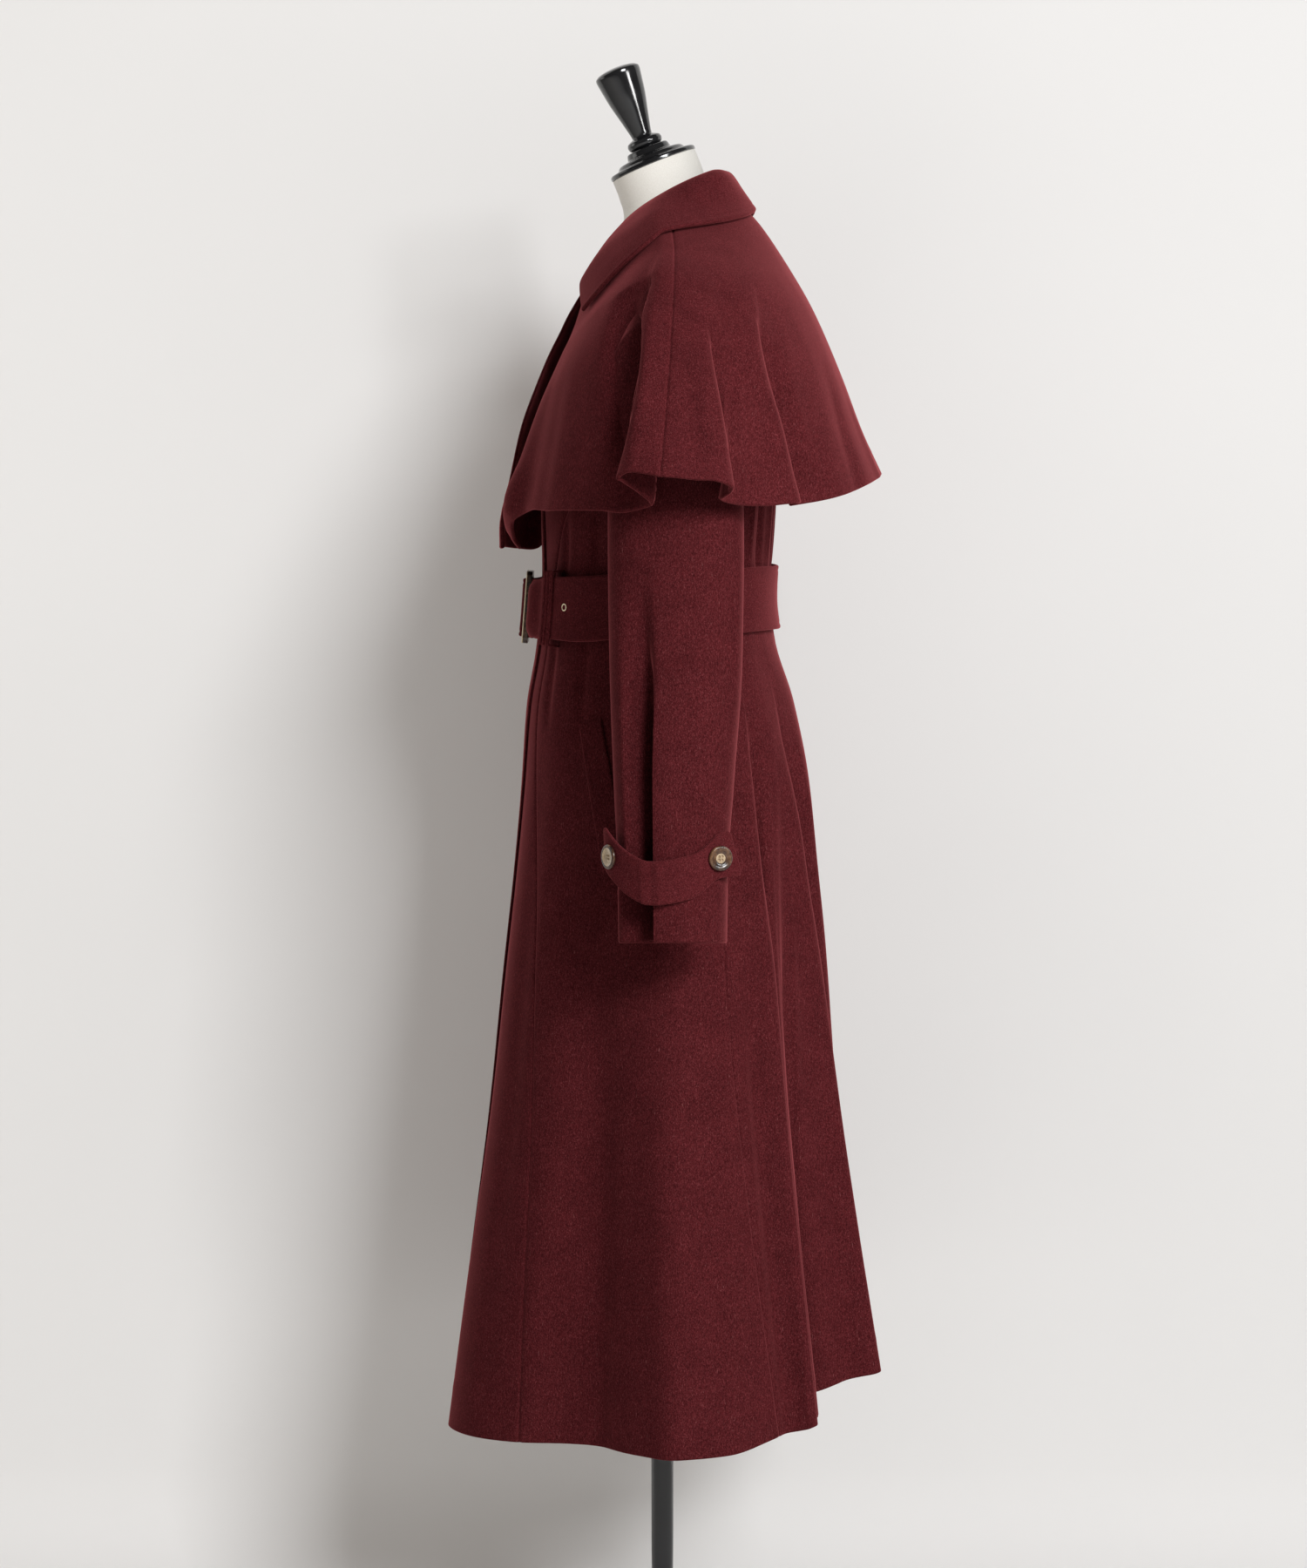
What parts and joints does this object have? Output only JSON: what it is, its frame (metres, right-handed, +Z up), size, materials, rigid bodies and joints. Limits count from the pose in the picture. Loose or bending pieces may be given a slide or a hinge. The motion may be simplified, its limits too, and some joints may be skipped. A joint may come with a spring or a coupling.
{
  "type": "belted wool cape coat on a limbless dress form",
  "caption": "Midi wool coat with a shoulder cape, wide collar, belt with a trench buckle and cuff straps, standing on a limbless dress form with a pole and round base.",
  "frame": {"origin": "centre of the base plate's underside, on the floor under the pole", "axes": "+Z up; the coat's front faces -Y and the wearer's left side is +X"},
  "size_m": [0.6736, 0.4358, 1.6393],
  "materials": {
    "wool": "napped wool melton, matte, wine red",
    "form_cloth": "plain off-white jersey, matte",
    "black_lacquer": "black gloss lacquer",
    "gold_plate": "polished pale gold",
    "horn": "dark mottled horn, half gloss"
  },
  "bodies": {
    "root": {"base_plate": "black_lacquer", "belt": "wool", "belt_keeper": "wool", "buckle_frame": "horn", "buckle_rim": "gold_plate", "cape_back": "wool", "cape_front_left": "wool", "cape_front_right": "wool", "coat_back_left": "wool", "coat_back_right": "wool", "coat_front_left": "wool", "coat_front_right": "wool", "coat_side_left": "wool", "coat_side_right": "wool", "collar": "wool", "cuff_button_back_left": "horn", "cuff_button_back_right": "horn", "cuff_button_front_left": "horn", "cuff_button_front_right": "horn", "cuff_strap_left": "wool", "cuff_strap_right": "wool", "eyelet_1": "gold_plate", "eyelet_2": "gold_plate", "form_body": "form_cloth", "neck_cap": "black_lacquer", "pocket_welt_left": "wool", "pocket_welt_right": "wool", "pole": "black_lacquer", "sleeve_left": "wool", "sleeve_right": "wool"}
  },
  "joints": []
}
